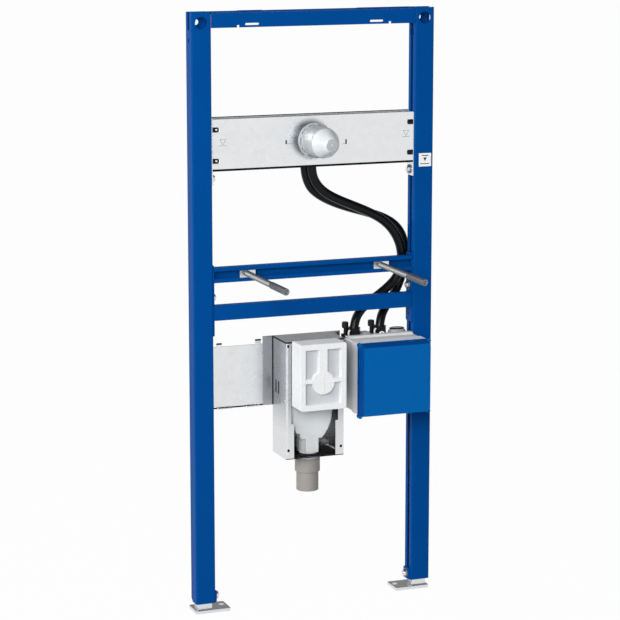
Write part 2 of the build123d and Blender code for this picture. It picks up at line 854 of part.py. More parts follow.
def hose_routes():
    """Centre lines of the two hoses, from the tap holder to the function box."""
    front_route = [
        (*hose_tops[0], hose_top),
        (-1.0, 16.0, 872.0),
        (2.5, 16.0, 853.0),
        (14.5, 16.0, 834.0),
        (34.5, 16.5, 818.5),
        (62.5, 17.0, 805.0),
        (91.5, 18.0, 793.0),
        (124.0, 19.5, 779.0),
        (153.5, 21.5, 762.0),
        (175.5, 23.5, 740.5),
        (190.0, 25.5, 715.0),
        (195.5, 26.5, 690.0),
        (195.0, 26.5, 667.0),
        (185.5, 26.5, 645.0),
        (169.0, 26.5, 628.0),
        (147.0, 26.5, 612.0),
        (124.0, 26.5, 597.0),
        (105.0, 25.5, 580.5),
        (92.0, 20.0, 562.0),
        (fitting_positions[0], fitting_y, fitting_top - hose_push),
    ]
    rear_route = [
        (*hose_tops[1], hose_top),
        (-8.0, 35.0, 871.0),
        (-4.5, 35.0, 851.0),
        (5.0, 35.0, 830.0),
        (27.5, 36.0, 813.0),
        (55.5, 37.0, 799.5),
        (89.0, 39.0, 787.5),
        (126.5, 41.0, 776.5),
        (161.5, 43.0, 764.5),
        (189.5, 45.0, 747.5),
        (206.0, 46.0, 724.0),
        (211.0, 46.5, 697.0),
        (210.0, 46.5, 668.0),
        (202.5, 45.0, 639.0),
        (189.5, 41.5, 613.5),
        (173.5, 35.5, 596.0),
        (158.0, 28.0, 580.0),
        (147.0, 20.0, 562.0),
        (fitting_positions[1], fitting_y, fitting_top - hose_push),
    ]
    return {"front_hose": front_route, "rear_hose": rear_route}


def hose(name, points):
    """A tube along straight runs joined by arcs as large as the runs allow."""
    corners = [Vector(*point) for point in points]
    radii = []
    for before, corner, after in zip(corners, corners[1:], corners[2:]):
        half_turn = math.radians((corner - before).get_angle(after - corner) / 2)
        shorter_run = min((corner - before).length, (after - corner).length)
        radii.append(hose_arc_share * shorter_run / math.tan(half_turn))
    path = FilletPolyline(*corners, radius=radii)
    start = Plane(corners[0], z_dir=corners[1] - corners[0])
    section = Circle(hose_diameter / 2)
    tube = sweep(start * section, path=path)
    print(name, "length", round(path.length, 1), "radii", [round(radius) for radius in radii])
    print(name, "volume over section times length", round(tube.volume / (section.area * path.length), 4))
    return tube


add_pair("post", post())
add_pair("leg", leg())
add_pair("leg_shoe", leg_shoe())
add_pair("foot_plate", foot_plate())
add_pair("leg_clamp_plate", leg_clamp_plate())
add_pair("leg_clamp_bolt", leg_clamp_bolt())
parts["top_rail"] = top_rail()
parts["fastening_rail"] = fastening_rail()
rail_bracket = end_bracket(rail_bracket_bottom, rail_top + rail_bracket_over)
add_pair("rail_bracket", rail_bracket - bracket_bolt_hole(rail_bolt_z))
add_pair("rail_bolt", bracket_bolt(rail_bolt_z))
add_pair("slide_nut", slide_nut())
add_pair("stud", stud())
parts["crossbar"] = channel(bar_bottom, bar_bottom + bar_height, bar_depth, bar_wall)
bar_hole_start = (post_inner + 1, slot_centre, bar_bracket_hole_z)
bar_hole = rod(bar_hole_start, (-1, 0, 0), bar_bracket_hole, bracket_thickness + 2)
add_pair("bar_bracket", end_bracket(bar_bracket_bottom, bar_bottom + bar_height) - bar_hole)
parts["tap_plate"] = tap_plate()
add_pair("tap_bracket", tap_bracket())
add_pair("tap_bolt", bracket_bolt(tap_plate_bottom - tap_bolt_below))
parts["tap_cap"] = tap_cap()
parts["cap_ring"] = cap_ring()
parts["tap_holder"] = tap_holder()
parts["trap_plate"] = trap_plate()
parts["trap_box"] = trap_box()
parts["trap_insert"] = trap_insert()
parts["trap_cover"] = trap_cover()
parts["outlet_seal"] = outlet_seal()
parts["outlet_pipe"] = outlet_pipe()
parts["function_box_body"] = function_box_body()
parts["function_box_collar"] = function_box_collar()
parts["function_box_cover"] = function_box_cover()
for side, fitting_x in zip(("left", "right"), fitting_positions):
    parts[side + "_hose_fitting"] = hose_fitting(fitting_x)
    parts[side + "_valve_clip"] = valve_clip(fitting_x)
    parts[side + "_valve_knob"] = valve_knob(fitting_x)
parts["box_plug"] = box_plug()
for name, points in hose_routes().items():
    parts[name] = hose(name, points)

os.makedirs("parts", exist_ok=True)
to_origin = Pos(0, -floor_hole_back, 0)
for name, shape in parts.items():
    export_step(to_origin * shape, "parts/" + name + ".step")
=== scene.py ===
import bmesh
import bpy
import json
import math
from mathutils import Matrix, Vector


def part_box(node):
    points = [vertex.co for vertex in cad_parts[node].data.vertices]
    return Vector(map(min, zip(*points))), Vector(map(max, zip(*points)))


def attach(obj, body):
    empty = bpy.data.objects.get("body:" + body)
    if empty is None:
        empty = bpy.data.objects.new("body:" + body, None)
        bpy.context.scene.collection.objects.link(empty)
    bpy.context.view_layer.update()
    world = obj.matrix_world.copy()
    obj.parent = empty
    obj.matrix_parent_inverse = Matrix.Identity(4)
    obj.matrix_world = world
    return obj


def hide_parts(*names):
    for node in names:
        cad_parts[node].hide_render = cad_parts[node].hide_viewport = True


# Basin installation frame: blue powder-coated steel posts and rails, galvanised plates, a concealed trap,
# a function box and two hoses. Places are written in millimetres from the posts' front faces and the floor.
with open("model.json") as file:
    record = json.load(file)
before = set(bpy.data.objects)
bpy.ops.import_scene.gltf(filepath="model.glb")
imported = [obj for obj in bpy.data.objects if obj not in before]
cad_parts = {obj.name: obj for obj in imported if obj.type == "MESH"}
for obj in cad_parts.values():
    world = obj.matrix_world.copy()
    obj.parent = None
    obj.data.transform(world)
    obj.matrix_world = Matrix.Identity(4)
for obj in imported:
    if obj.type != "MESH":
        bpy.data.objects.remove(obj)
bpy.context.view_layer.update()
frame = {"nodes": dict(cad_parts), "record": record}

MM = 0.001
ORIGIN = Vector((0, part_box("left_post")[0].y, 0))
MERGE = 0.002 * MM
NEAR = 0.2
SMOOTH_ANGLE = math.radians(32)

# Camera, fitted to the photograph's frame of 620 by 620 pixels
CAMERA_PLACE = (-1.6312, -4.2399, 1.4535)
CAMERA_PITCH = math.radians(10.7719)
CAMERA_YAW = math.radians(21.0606)
CAMERA_LENS = 136.01

# Routes of the hoses, in metres, from the tap holder to the function box
HOSE_DIAMETER = 0.018
FRONT_ROUTE = [
    (-0.0010, -0.0150, 0.8870),
    (-0.0010, -0.0150, 0.8720),
    (0.0025, -0.0150, 0.8530),
    (0.0145, -0.0150, 0.8340),
    (0.0345, -0.0145, 0.8185),
    (0.0625, -0.0140, 0.8050),
    (0.0915, -0.0130, 0.7930),
    (0.1240, -0.0115, 0.7790),
    (0.1535, -0.0095, 0.7620),
    (0.1755, -0.0075, 0.7405),
    (0.1900, -0.0055, 0.7150),
    (0.1955, -0.0045, 0.6900),
    (0.1950, -0.0045, 0.6670),
    (0.1855, -0.0045, 0.6450),
    (0.1690, -0.0045, 0.6280),
    (0.1470, -0.0045, 0.6120),
    (0.1240, -0.0045, 0.5970),
    (0.1050, -0.0055, 0.5805),
    (0.0920, -0.0110, 0.5620),
    (0.0875, -0.0160, 0.5385),
]
REAR_ROUTE = [
    (-0.0080, 0.0040, 0.8870),
    (-0.0080, 0.0040, 0.8710),
    (-0.0045, 0.0040, 0.8510),
    (0.0050, 0.0040, 0.8300),
    (0.0275, 0.0050, 0.8130),
    (0.0555, 0.0060, 0.7995),
    (0.0890, 0.0080, 0.7875),
    (0.1265, 0.0100, 0.7765),
    (0.1615, 0.0120, 0.7645),
    (0.1895, 0.0140, 0.7475),
    (0.2060, 0.0150, 0.7240),
    (0.2110, 0.0155, 0.6970),
    (0.2100, 0.0155, 0.6680),
    (0.2025, 0.0140, 0.6390),
    (0.1895, 0.0105, 0.6135),
    (0.1735, 0.0045, 0.5960),
    (0.1580, -0.0030, 0.5800),
    (0.1470, -0.0110, 0.5620),
    (0.1430, -0.0160, 0.5385),
]


def at(x, y, z):
    """A place in metres, from millimetres measured from the posts' front faces and the floor."""
    return ORIGIN + Vector((x, y, z)) * MM


def in_mm(place):
    """A place in millimetres, measured from the posts' front faces and the floor."""
    return (place - ORIGIN) / MM


def span(node):
    """Lowest and highest corner of a CAD node, in millimetres."""
    low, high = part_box(node)
    return in_mm(low), in_mm(high)


def pair(*names):
    """The left and right names of pieces."""
    return [side + "_" + name for name in names for side in ("left", "right")]


# Materials
BLEND = {"data_type": "RGBA"}


def linear(hex_colour):
    """Linear colour of an sRGB hex value."""
    shares = [int(hex_colour[i:i + 2], 16) / 255 for i in (1, 3, 5)]
    return (*[s / 12.92 if s <= 0.04045 else ((s + 0.055) / 1.055) ** 2.4 for s in shares], 1.0)


def add_node(tree, kind, settings, inputs, output=0, feeds=None):
    """Adds a node with its settings, a value or source for each input, and the socket its output feeds."""
    node = tree.nodes.new("ShaderNode" + kind)
    for name, value in settings.items():
        setattr(node, name, value)
    for key, value in inputs.items():
        if isinstance(value, bpy.types.NodeSocket):
            tree.links.new(value, node.inputs[key])
        else:
            node.inputs[key].default_value = value
    if feeds is not None:
        tree.links.new(node.outputs[output], feeds)
    return node.outputs[output]


def start_material(name, values):
    """A new material, its node tree, its shader's sockets with constants, and Object coordinates."""
    material = bpy.data.materials.new(name)
    material.use_nodes = True
    tree = material.node_tree
    sockets = tree.nodes["Principled BSDF"].inputs
    for key, value in values.items():
        sockets[key].default_value = value
    return material, tree, sockets, add_node(tree, "TexCoord", {}, {}, "Object")


def per_metre(size_mm):
    """Texture scale of a pattern whose cells are so many millimetres wide."""
    return 1 / (size_mm * MM)


def powder_coated_steel():
    """Steel under baked polyester powder: satin, and the faint orange peel breaks up its reflections."""
    values = {"Roughness": 0.4, "IOR": 1.5, "Specular IOR Level": 0.03}
    material, tree, sockets, place = start_material("powder_coated_steel", values)
    cloud = add_node(tree, "TexNoise", {}, {"Vector": place, "Scale": per_metre(90), "Detail": 2.0})
    tones = {0: cloud, 6: linear("#00448A"), 7: linear("#004A93")}
    add_node(tree, "Mix", BLEND, tones, 2, sockets["Base Color"])
    # The real peel is about 1 mm wide; it is drawn at 3 mm so that it shows.
    peel = add_node(tree, "TexNoise", {}, {"Vector": place, "Scale": per_metre(3), "Detail": 1.0})
    bump = {"Height": peel, "Strength": 0.05, "Distance": 0.3 * MM}
    add_node(tree, "Bump", {}, bump, 0, sockets["Normal"])
    return material


def zinc_plated_steel(name, dark, light, smooth, rough):
    """Bright zinc over drawn steel: cool silver with soft blotches and a fine drawn grain."""
    material, tree, sockets, place = start_material(name, {"Metallic": 1.0})
    blotch = add_node(tree, "TexNoise", {}, {"Vector": place, "Scale": per_metre(9), "Detail": 3.0})
    add_node(tree, "Mix", BLEND, {0: blotch, 6: linear(dark), 7: linear(light)}, 2, sockets["Base Color"])
    polish = {"Value": blotch, "To Min": smooth, "To Max": rough}
    add_node(tree, "MapRange", {}, polish, 0, sockets["Roughness"])
    grain = add_node(tree, "TexNoise", {}, {"Vector": place, "Scale": per_metre(1.2), "Detail": 2.0})
    bump = {"Height": grain, "Strength": 0.12, "Distance": 0.2 * MM}
    add_node(tree, "Bump", {}, bump, 0, sockets["Normal"])
    return material


def galvanised_sheet(name, dark, light, shade_colour=None, centre=None, axes=None, near=0, far=0):
    """Hot-dip galvanised sheet: pale, with a faint spangle, and, if a shade colour is given, painted shade
    near a centre along some axes.
    """
    material, tree, sockets, place = start_material(name, {"Metallic": 1.0})
    crystals = add_node(tree, "TexVoronoi", {}, {"Vector": place, "Scale": per_metre(11)}, "Color")
    tone = add_node(tree, "SeparateColor", {}, {"Color": crystals})
    colour = add_node(tree, "Mix", BLEND, {0: tone, 6: linear(dark), 7: linear(light)}, 2)
    # Painted shade: the shade colour is full within near of the centre and fades out by far.
    if shade_colour:
        away = add_node(tree, "VectorMath", {"operation": "SUBTRACT"}, {0: place, 1: centre})
        flat = add_node(tree, "VectorMath", {"operation": "MULTIPLY"}, {0: away, 1: axes})
        distance = add_node(tree, "VectorMath", {"operation": "LENGTH"}, {0: flat}, "Value")
        reach = {"Value": distance, "From Min": near * MM, "From Max": far * MM}
        share = add_node(tree, "MapRange", {"interpolation_type": "SMOOTHSTEP"}, reach)
        colour = add_node(tree, "Mix", BLEND, {0: share, 6: linear(shade_colour), 7: colour}, 2)
    tree.links.new(colour, sockets["Base Color"])
    add_node(tree, "MapRange", {}, {"Value": tone, "To Min": 0.26, "To Max": 0.3}, 0, sockets["Roughness"])
    grain = add_node(tree, "TexNoise", {}, {"Vector": place, "Scale": per_metre(4), "Detail": 3.0})
    bump = {"Height": grain, "Strength": 0.02, "Distance": 0.2 * MM}
    add_node(tree, "Bump", {}, bump, 0, sockets["Normal"])
    return material


def painted_edge_shade():
    """Near-black painted shade for strips along bends, edges, corners and slits of galvanised sheet."""
    values = {"Roughness": 0.7, "Specular IOR Level": 0.08}
    material, tree, sockets, place = start_material("painted_edge_shade", values)
    stain = add_node(tree, "TexNoise", {}, {"Vector": place, "Scale": per_metre(5), "Detail": 3.0})
    tones = {0: stain, 6: linear("#08090A"), 7: linear("#131416")}
    add_node(tree, "Mix", BLEND, tones, 2, sockets["Base Color"])
    return material


def expanded_polystyrene(name, dark, light):
    """Steam-moulded bead foam: matt white, with the outlines of pressed beads about 3.5 mm wide."""
    material, tree, sockets, place = start_material(name, {"Roughness": 0.8})
    settings = {"feature": "DISTANCE_TO_EDGE"}
    beads = add_node(tree, "TexVoronoi", settings, {"Vector": place, "Scale": per_metre(3.5)})
    edge = add_node(tree, "MapRange", {}, {"Value": beads, "From Max": 0.16})
    add_node(tree, "Mix", BLEND, {0: edge, 6: linear(dark), 7: linear(light)}, 2, sockets["Base Color"])
    bump = {"Height": edge, "Strength": 0.12, "Distance": 0.3 * MM}
    add_node(tree, "Bump", {}, bump, 0, sockets["Normal"])
    return material


def translucent_polypropylene(name, dark, light):
    """Natural polypropylene: milky, lets light bleed through thin walls, with a waxy gloss."""
    values = {"Roughness": 0.24, "IOR": 1.49, "Subsurface Weight": 0.2, "Subsurface Scale": 1.0}
    values["Subsurface Radius"] = (5 * MM, 5 * MM, 6 * MM)
    material, tree, sockets, place = start_material(name, values)
    cloud = add_node(tree, "TexNoise", {}, {"Vector": place, "Scale": per_metre(25), "Detail": 2.0})
    add_node(tree, "Mix", BLEND, {0: cloud, 6: linear(dark), 7: linear(light)}, 2, sockets["Base Color"])
    return material


def moulded_plastic(name, dark, light, roughness, gloss=0.5):
    """Injection-moulded plastic with a fine spark-eroded grain and slight tone changes."""
    values = {"Roughness": roughness, "IOR": 1.53, "Specular IOR Level": gloss}
    material, tree, sockets, place = start_material(name, values)
    cloud = add_node(tree, "TexNoise", {}, {"Vector": place, "Scale": per_metre(40), "Detail": 2.0})
    add_node(tree, "Mix", BLEND, {0: cloud, 6: linear(dark), 7: linear(light)}, 2, sockets["Base Color"])
    # The real grain is about 0.3 mm wide; it is drawn at 1.5 mm so that it shows.
    grain = add_node(tree, "TexNoise", {}, {"Vector": place, "Scale": per_metre(1.5), "Detail": 2.0})
    bump = {"Height": grain, "Strength": 0.06, "Distance": 0.2 * MM}
    add_node(tree, "Bump", {}, bump, 0, sockets["Normal"])
    return material


def rubber(name, dark, light, roughness):
    """Extruded rubber: near black, with a thin sheen and fine mottling."""
    values = {"Roughness": roughness, "IOR": 1.52, "Specular IOR Level": 0.15}
    material, tree, sockets, place = start_material(name, values)
    mottle = add_node(tree, "TexNoise", {}, {"Vector": place, "Scale": per_metre(6), "Detail": 4.0})
    add_node(tree, "Mix", BLEND, {0: mottle, 6: linear(dark), 7: linear(light)}, 2, sockets["Base Color"])
    bump = {"Height": mottle, "Strength": 0.08, "Distance": 0.3 * MM}
    add_node(tree, "Bump", {}, bump, 0, sockets["Normal"])
    return material


COATED = powder_coated_steel()
ZINC = zinc_plated_steel("zinc_plated_steel", "#D0D2D5", "#E6E8EA", 0.22, 0.34)
DARK_ZINC = zinc_plated_steel("zinc_plated_thread", "#74777A", "#8A8D90", 0.42, 0.55)
GALVANISED = galvanised_sheet("galvanised_sheet", "#E0E2E4", "#E7E9EB")
# Painted shade: the trap box's sheet darkens within 114 mm of its top and is plain again by 190 mm.
BOX_TOP = (0, 0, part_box("trap_box")[1].z)
BOX_SHEET_SHADED = galvanised_sheet(
    "drawn_box_sheet_painted_shade",
    "#D9DBDD",
    "#DEE0E2",
    shade_colour="#B2B4B8",
    centre=BOX_TOP,
    axes=(0, 0, 1),
    near=114,
    far=190,
)
# Painted shadow: the tap plate darkens round the cap, centred a little left of and above the cap's middle,
# fading out between 29 and 45 mm.
CAP_SHADE = (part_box("tap_cap")[0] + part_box("tap_cap")[1]) / 2 + Vector((-8, 0, 3)) * MM
TAP_SHEET_SHADOWED = galvanised_sheet(
    "tap_plate_sheet_painted_shadow",
    "#E6E8EA",
    "#ECEEF0",
    shade_colour="#808488",
    centre=CAP_SHADE,
    axes=(1, 0, 1),
    near=29,
    far=45,
)
# Painted shade: dark sheet for the inner faces of the trap box's sides.
INNER_SHEET_SHADED = galvanised_sheet("inner_sheet_painted_shade", "#4E5053", "#5A5C60")
# Painted shade: near-black strips along the sheets' edges, bends, corners and slits.
EDGE_SHADE = painted_edge_shade()
FOAM = expanded_polystyrene("expanded_polystyrene", "#E2E4E6", "#EDEEF0")
# Painted shade: darker foam for the floors of the cover's recesses.
FOAM_RECESS_SHADE = expanded_polystyrene("polystyrene_recess_painted_shade", "#BFC3C6", "#CACDD0")
MILKY = translucent_polypropylene("translucent_polypropylene", "#CFD4D7", "#DCE0E3")
# Painted shade: darker polypropylene for the cap's skirt, its flat tip and its ring.
MILKY_SHADED = translucent_polypropylene("polypropylene_painted_shade", "#A4A9AC", "#B2B7BA")
TRAP_MILKY = translucent_polypropylene("trap_polypropylene", "#D6DADC", "#E0E4E6")
WHITE_PLASTIC = moulded_plastic("white_abs", "#E9EAEB", "#F1F2F3", 0.4)
PALE_GREY = moulded_plastic("pale_grey_abs", "#CDCED0", "#D7D8DA", 0.42)
MID_GREY = moulded_plastic("mid_grey_abs", "#98999C", "#A6A7AA", 0.45)
LID_BLUE = moulded_plastic("blue_polystyrene", "#005BA2", "#0060AB", 0.45, 0.06)
# Painted shade: darker blue for the lid's top and sides.
LID_SHADE = moulded_plastic("blue_polystyrene_painted_shade", "#00438A", "#004890", 0.45, 0.06)
PIPE_GREY = moulded_plastic("grey_polypropylene", "#8F8B87", "#9A9692", 0.5, 0.3)
BLACK = moulded_plastic("black_polyamide", "#08090B", "#101215", 0.35, 0.2)
HOSE_RUBBER = rubber("hose_rubber", "#050608", "#0B0D10", 0.25)
SEAL_RUBBER = rubber("seal_rubber", "#08080A", "#101012", 0.6)
LABEL = moulded_plastic("label_film", "#ECEDF0", "#F4F5F7", 0.35)
INK = moulded_plastic("black_ink", "#141416", "#1E1E21", 0.5)
MARKING = moulded_plastic("grey_marking", "#8B8E92", "#979A9E", 0.6)


# Mesh helpers
def add_piece(name, bm, materials, body="frame"):
    """Turns a bmesh into a piece that rides on a body."""
    mesh = bpy.data.meshes.new(name)
    bm.to_mesh(mesh)
    bm.free()
    for material in materials:
        mesh.materials.append(material)
    mesh.shade_smooth()
    mesh.set_sharp_from_angle(angle=SMOOTH_ANGLE)
    piece = bpy.data.objects.new(name, mesh)
    bpy.context.scene.collection.objects.link(piece)
    piece.modifiers.new("even_normals", "WEIGHTED_NORMAL").keep_sharp = True
    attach(piece, body)
    return piece


BODY_OF = {node: body for body, nodes in frame["record"]["behaviour"]["bodies"].items() for node in nodes}


def stand_for(node, bm, materials, ending):
    """A piece that takes the place of a CAD node."""
    piece = add_piece(node + "_" + ending, bm, materials, BODY_OF[node])
    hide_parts(node)


def outward(bm):
    """Merges doubled points and turns the faces outwards."""
    bmesh.ops.remove_doubles(bm, verts=bm.verts, dist=MERGE)
    bmesh.ops.recalc_face_normals(bm, faces=bm.faces)


def bevel(bm, edges, width, segments):
    """Rounds edges by a width in millimetres."""
    bmesh.ops.bevel(
        bm,
        geom=edges,
        offset=width * MM,
        segments=segments,
        profile=0.5,
        affect="EDGES",
        clamp_overlap=True,
        material=-1,
    )


def round_edges(bm, width, segments=2, least_angle=40):
    """Rounds every edge that turns by more than the least angle."""
    limit = math.radians(least_angle)
    bevel(bm, [e for e in bm.edges if e.is_manifold and e.calc_face_angle() > limit], width, segments)


def copy_of(node):
    """A merged copy of a CAD node's mesh, with its flat faces joined up."""
    bm = bmesh.new()
    bm.from_mesh(frame["nodes"][node].data)
    bmesh.ops.remove_doubles(bm, verts=bm.verts, dist=MERGE)
    bmesh.ops.dissolve_limit(bm, angle_limit=math.radians(0.5), verts=bm.verts, edges=bm.edges)
    return bm


def soften(nodes, width, material, ending, segments=2):
    """Copies of CAD nodes with their cut or moulded edges rounded."""
    for node in nodes:
        bm = copy_of(node)
        round_edges(bm, width, segments)
        stand_for(node, bm, [material], ending)


def paint(bm, index, wanted):
    """Gives a material index to the faces wanted by their normal and their middle in millimetres."""
    bm.normal_update()
    for face in bm.faces:
        if wanted(face.normal, in_mm(face.calc_center_median())):
            face.material_index = index


def faces_of(verts):
    """The faces that touch some points."""
    return {face for vert in verts for face in vert.link_faces}


def give(faces, index):
    """Gives a material index to faces."""
    for face in faces:
        face.material_index = index


def box(bm, x0, x1, y0, y1, z0, z1):
    """Adds a box between two values on each axis, in millimetres, and returns its faces."""
    low, high = at(x0, y0, z0), at(x1, y1, z1)
    size = Matrix.Diagonal((*(high - low), 1.0))
    made = bmesh.ops.create_cube(bm, size=1.0, matrix=Matrix.Translation((low + high) / 2) @ size)
    return faces_of(made["verts"])


def spun(bm, outline, place, steps=48, angle=math.tau):
    """Spins an outline of (radius, height) points, in millimetres, round the place's Z axis."""
    before = set(bm.verts)
    points = [bm.verts.new((radius * MM, 0, height * MM)) for radius, height in outline]
    edges = [bm.edges.new(ends) for ends in zip(points, points[1:])]
    bmesh.ops.spin(
        bm,
        geom=points + edges,
        cent=(0, 0, 0),
        axis=(0, 0, 1),
        angle=angle,
        steps=steps,
        use_merge=angle == math.tau,
    )
    made = [v for v in bm.verts if v not in before]
    bmesh.ops.transform(bm, matrix=place, verts=made)
    bmesh.ops.remove_doubles(bm, verts=made, dist=MERGE)
    made = [v for v in made if v.is_valid]
    bmesh.ops.recalc_face_normals(bm, faces=list(faces_of(made)))
    return made


def turned(x, y, z, axis, degrees):
    """A place whose Z axis is turned round X or Y."""
    return Matrix.Translation(at(x, y, z)) @ Matrix.Rotation(math.radians(degrees), 4, axis)


def upright(x, y, z):
    """A place whose Z axis points up."""
    return Matrix.Translation(at(x, y, z))


def facing_front(x, y, z):
    """A place whose Z axis points out of the front."""
    return turned(x, y, z, "X", 90)


# Hoses
def hose(name, route):
    """A bent rubber hose along its route."""
    curve = bpy.data.curves.new(name, "CURVE")
    curve.dimensions = "3D"
    spline = curve.splines.new("NURBS")
    spline.points.add(len(route) - 1)
    for point, place in zip(spline.points, route):
        point.co = (*place, 1.0)
    spline.order_u = 3
    spline.use_endpoint_u = True
    spline.resolution_u = 8
    spline.use_smooth = True
    curve.bevel_depth = HOSE_DIAMETER / 2
    curve.bevel_resolution = 8
    curve.use_fill_caps = True
    curve.materials.append(HOSE_RUBBER)
    piece = bpy.data.objects.new(name + "_rubber", curve)
    bpy.context.scene.collection.objects.link(piece)
    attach(piece, "frame")
    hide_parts(name)


hose("front_hose", FRONT_ROUTE)
hose("rear_hose", REAR_ROUTE)

# Cut and moulded pieces that keep their CAD shape and get rounded edges
soften(pair("post"), 0.5, COATED, "coated")
soften(["top_rail", "fastening_rail", "crossbar"], 0.7, COATED, "coated")
soften(pair("rail_bracket", "bar_bracket", "leg_clamp_plate"), 0.6, COATED, "coated")
soften(pair("leg", "slide_nut"), 0.5, ZINC, "plated")
soften(pair("foot_plate"), 0.8, ZINC, "plated")
soften(pair("tap_bracket"), 0.5, GALVANISED, "folded")
soften(["tap_holder"], 1.0, PALE_GREY, "moulded")
soften(["outlet_seal"], 0.5, SEAL_RUBBER, "moulded")
soften(pair("leg_shoe"), 0.6, BLACK, "moulded")
soften(pair("hose_fitting"), 0.8, BLACK, "moulded", 3)

# Folded sheet, with painted shade on strips along its edges and bends
SHEET_EDGE = 0.3
STRIP = 3.0
TAP_FOOT_STRIP = 4.2
TAP_LIP_STRIP = 1.6
PLATE_SHEET = 2
EAR_TOP = 536
EAR_RIGHT = -180
TAB_TOP = 538.5
BOX_FLANGE = 21.0
BOX_FOOT_STRIP = 1.6
BOX_EDGE_STRIP = 1.4
BOX_EDGE_TOP = 410
FRONT_SKIN = 1
CORNER_SHADE_WIDTH = 1.4
CORNER_SHADE_DEPTHS = (2.2, 1.5)
CORNER_SHADE_FOOT = 406
TAB_HEIGHTS = (1.4, 3.4)
SLIT_PLACES = (-4, 11)
SLIT_HALF_WIDTH = 3.2
SLIT_DEPTHS = (0.2, 1.4)
SLIT_HEIGHTS = (433.1, 458.9)
BEND_WIDTH = 5
FACING = 0.9


def split(bm, axis, value):
    """Cuts the faces along a plane across X, Y or Z, in millimetres."""
    normal = Vector([float(name == axis) for name in "xyz"])
    everything = bm.verts[:] + bm.edges[:] + bm.faces[:]
    bmesh.ops.bisect_plane(bm, geom=everything, dist=MERGE, plane_co=at(*(normal * value)), plane_no=normal)


def finish_sheet(node, bm, materials, cuts, dark):
    """Rounds the cut edges of a folded sheet and paints shade on strips between cuts."""
    round_edges(bm, SHEET_EDGE, 1)
    for axis, value in cuts:
        split(bm, axis, value)
    paint(bm, 1, dark)
    stand_for(node, bm, materials, "folded")


def tap_plate():
    """Tap plate, with painted shade along its lower edge and on top of its rear lip."""
    low, high = span("tap_plate")
    foot, lip = low.z + TAP_FOOT_STRIP, high.z - TAP_LIP_STRIP
    bm = copy_of("tap_plate")
    cuts = [("z", foot), ("z", lip)]
    finish_sheet("tap_plate", bm, [TAP_SHEET_SHADOWED, EDGE_SHADE], cuts, lambda n, c: c.z < foot or c.z > lip)


def trap_plate():
    """Trap plate, with painted shade along its lower edge between the hems, and on top of its tabs."""
    low, high = span("trap_plate")
    sheet_front = high.y - PLATE_SHEET
    foot, ear, tab = low.z + STRIP, EAR_TOP - STRIP, TAB_TOP - STRIP
    bm = copy_of("trap_plate")

    # Painted shade: the lower strip, the tops of the tabs and the tops of the ears.
    def dark(normal, middle):
        on_sheet = middle.y > sheet_front - NEAR
        on_ear = middle.z > ear and middle.x < EAR_RIGHT
        return on_sheet and (middle.z < foot or middle.z > tab or on_ear)
    finish_sheet("trap_plate", bm, [GALVANISED, EDGE_SHADE], [("z", foot), ("z", ear), ("z", tab)], dark)


def trap_box():
    """Trap box, with painted shade round its top and foot, down its right edge, on its inner sides, in its
    corner and slits, and a painted highlight on the bend at its left.
    """
    low, high = span("trap_box")
    left, right = low.x + BOX_FLANGE, high.x - BOX_FLANGE
    top, foot, edge = high.z - STRIP, low.z + BOX_FOOT_STRIP, right - BOX_EDGE_STRIP
    bend = left + BEND_WIDTH
    bm = copy_of("trap_box")

    def dark(normal, middle):
        """Painted shade on strips along the top, the foot and the right edge."""
        front = middle.y < low.y + FRONT_SKIN
        upper = middle.z > top and normal.z < FACING and middle.y < high.y - 3 and middle.x < right
        return upper or (front and (middle.z < foot or (middle.x > edge and middle.z < BOX_EDGE_TOP)))

    def shaded(normal, middle):
        """Painted shade on the inner faces of the two sides."""
        between = left + 1 < middle.x < right - 1 and low.y + 2 < middle.y < high.y - 2
        return between and abs(normal.x) > FACING

    def bent(normal, middle):
        """Painted highlight on the front of the left bend."""
        return normal.y < -FACING and middle.y < low.y + FRONT_SKIN and left < middle.x < bend
    corner_shade_y = [high.y - depth for depth in CORNER_SHADE_DEPTHS]
    # Painted shade: a near-black strip in the corner at the rear of the left side.
    give(box(bm, left - CORNER_SHADE_WIDTH, left, *corner_shade_y, CORNER_SHADE_FOOT, high.z - 2), 1)
    tabs = ((low.x + 62, right - 3, 12, 16), (right - 6, right - 2, -24, 16), (left + 2, left + 9, 14, 18))
    tab_z = [low.z + height for height in TAB_HEIGHTS]
    for tab in tabs:
        box(bm, *tab, *tab_z)
    paint(bm, 2, shaded)
    # Painted shade: near-black blocks inside the two slits of the left side.
    slit_x = [left + depth for depth in SLIT_DEPTHS]
    for y in SLIT_PLACES:
        give(box(bm, *slit_x, y - SLIT_HALF_WIDTH, y + SLIT_HALF_WIDTH, *SLIT_HEIGHTS), 1)
    # Painted highlight: bright sheet on a strip at the front of the left bend.
    split(bm, "x", bend)
    paint(bm, 3, bent)
    materials = [BOX_SHEET_SHADED, EDGE_SHADE, INNER_SHEET_SHADED, GALVANISED]
    finish_sheet("trap_box", bm, materials, [("z", top), ("z", foot), ("x", edge)], dark)


tap_plate()
trap_plate()
trap_box()


# Trap cover, with its parting lines and the thin frames on its rims
DISC_DROP = 11.5
PART_LINE_RISE = 1
DISC_REACH = 20
RIDGE = 0.7
RIDGE_HALF_WIDTH = 0.6
RIM_FRAME = (3.0, 8.5)
RIM_FRAME_BELOW = 30
RIM_FRAME_ABOVE = 26
RECESS_DEPTH = 5
NECK_PLACE = (-17.5, -8.4)
NECK_OUTLINE = [(0, 0), (18.6, 0), (20.6, 2), (20.6, 42), (0, 42)]
LINE_HEIGHT = 21
LINE_OUTLINE = [(21.9, 0), (22.3, 0.2), (22.3, 0.9), (21.9, 1.1), (21.9, 0)]


